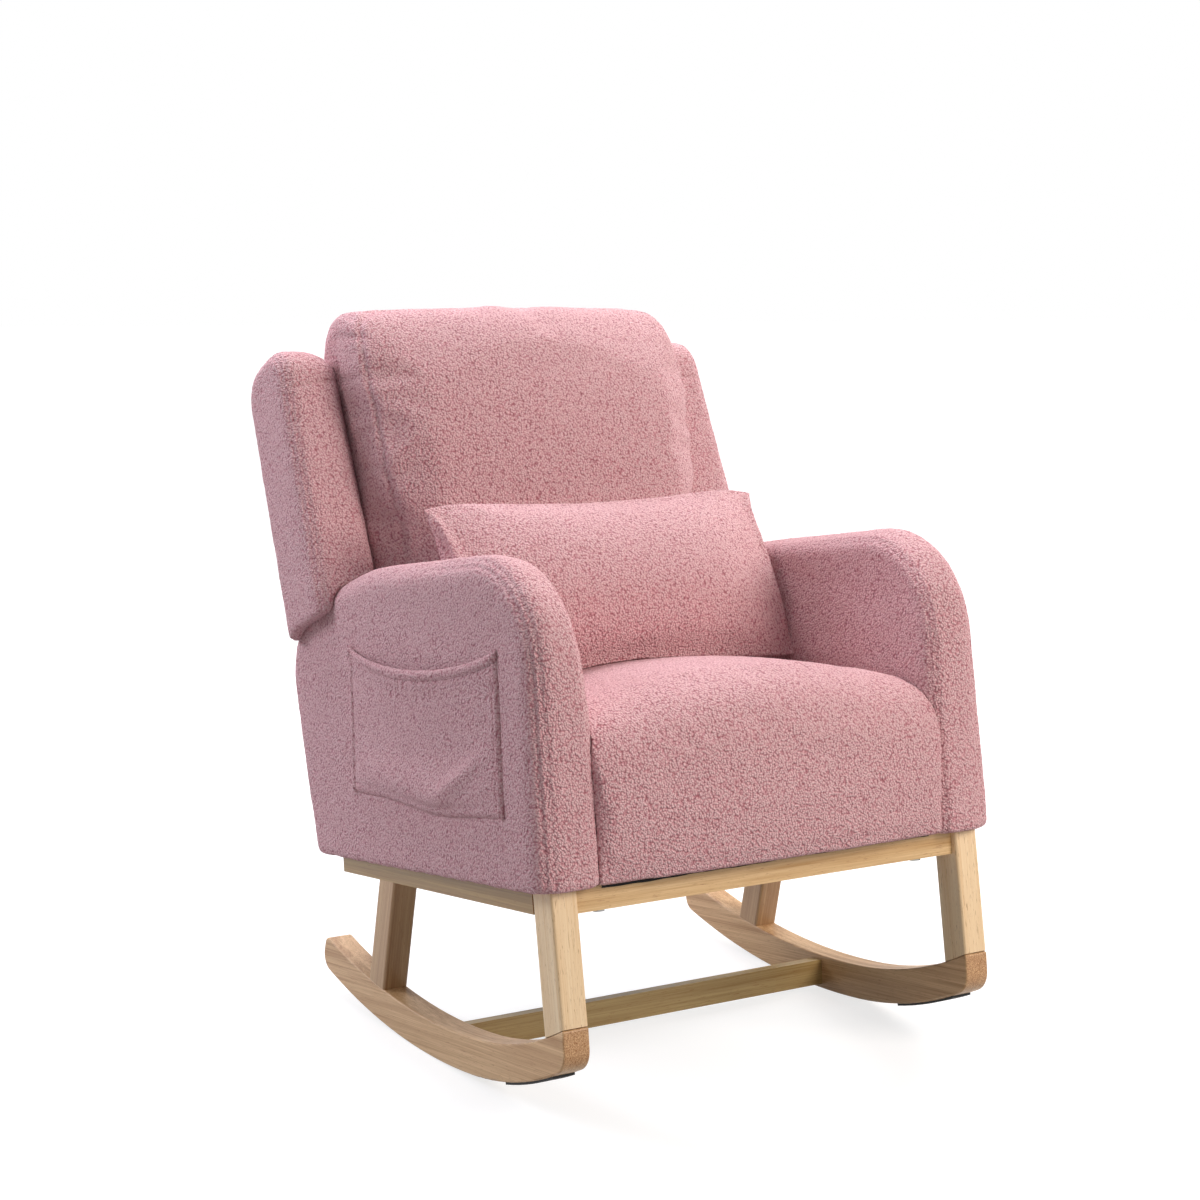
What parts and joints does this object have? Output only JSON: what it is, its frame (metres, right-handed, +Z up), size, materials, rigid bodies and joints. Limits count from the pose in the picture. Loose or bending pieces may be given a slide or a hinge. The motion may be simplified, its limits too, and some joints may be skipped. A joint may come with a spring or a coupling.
{
  "type": "rocking armchair",
  "caption": "Padded wingback armchair on curved wooden rockers, with a boxed back cushion, a loose lumbar pillow and slack side pockets, for sitting and gentle rocking.",
  "frame": {"origin": "On the floor, under the middle of the bounding box, with the chair at rest on its rockers.", "axes": "+Z up, +Y to the back of the chair, +X to the sitter's left."},
  "size_m": [0.7336, 0.8694, 0.9748],
  "materials": {
    "cover_fabric": "curly pile",
    "base_wood": "clear matt lacquer",
    "inner_wood": "sawn",
    "steel": "zinc plated",
    "webbing": "woven strap",
    "dust_cover": "non-woven",
    "pads": "matt"
  },
  "bodies": {
    "chair": {"arm_bolts": "steel", "arm_frame_left": "inner_wood", "arm_frame_right": "inner_wood", "arm_pad_left": "cover_fabric", "arm_pad_right": "cover_fabric", "back_bottom_rail": "inner_wood", "back_cushion": "cover_fabric", "back_middle_rail": "inner_wood", "back_pad": "cover_fabric", "back_post_left": "inner_wood", "back_post_right": "inner_wood", "back_top_rail": "inner_wood", "back_webbing": "webbing", "bracket_sockets": "steel", "bracket_tongues": "steel", "corner_blocks": "inner_wood", "dust_cover": "dust_cover", "front_leg_left": "base_wood", "front_leg_right": "base_wood", "front_rail": "base_wood", "leg_dowels": "base_wood", "pocket_left": "cover_fabric", "pocket_right": "cover_fabric", "rail_dowels": "base_wood", "rear_leg_left": "base_wood", "rear_leg_right": "base_wood", "rear_rail": "base_wood", "rocker_left": "base_wood", "rocker_pads": "pads", "rocker_right": "base_wood", "seat_bolts": "steel", "seat_box_front": "inner_wood", "seat_box_left": "inner_wood", "seat_box_rear": "inner_wood", "seat_box_right": "inner_wood", "seat_cushion": "cover_fabric", "seat_webbing": "webbing", "side_rail_left": "base_wood", "side_rail_right": "base_wood", "stretcher": "base_wood", "stretcher_dowels": "base_wood", "thread_inserts": "steel", "wing_frame_left": "inner_wood", "wing_frame_right": "inner_wood", "wing_pad_left": "cover_fabric", "wing_pad_right": "cover_fabric", "wing_spacers": "inner_wood"},
    "pillow": {"lumbar_pillow": "cover_fabric"}
  },
  "joints": [
    {"name": "pillow_lift", "type": "slide", "parent": "chair", "child": "pillow", "axis": [0, 0, 1], "range_m": [0, 0.25]}
  ]
}
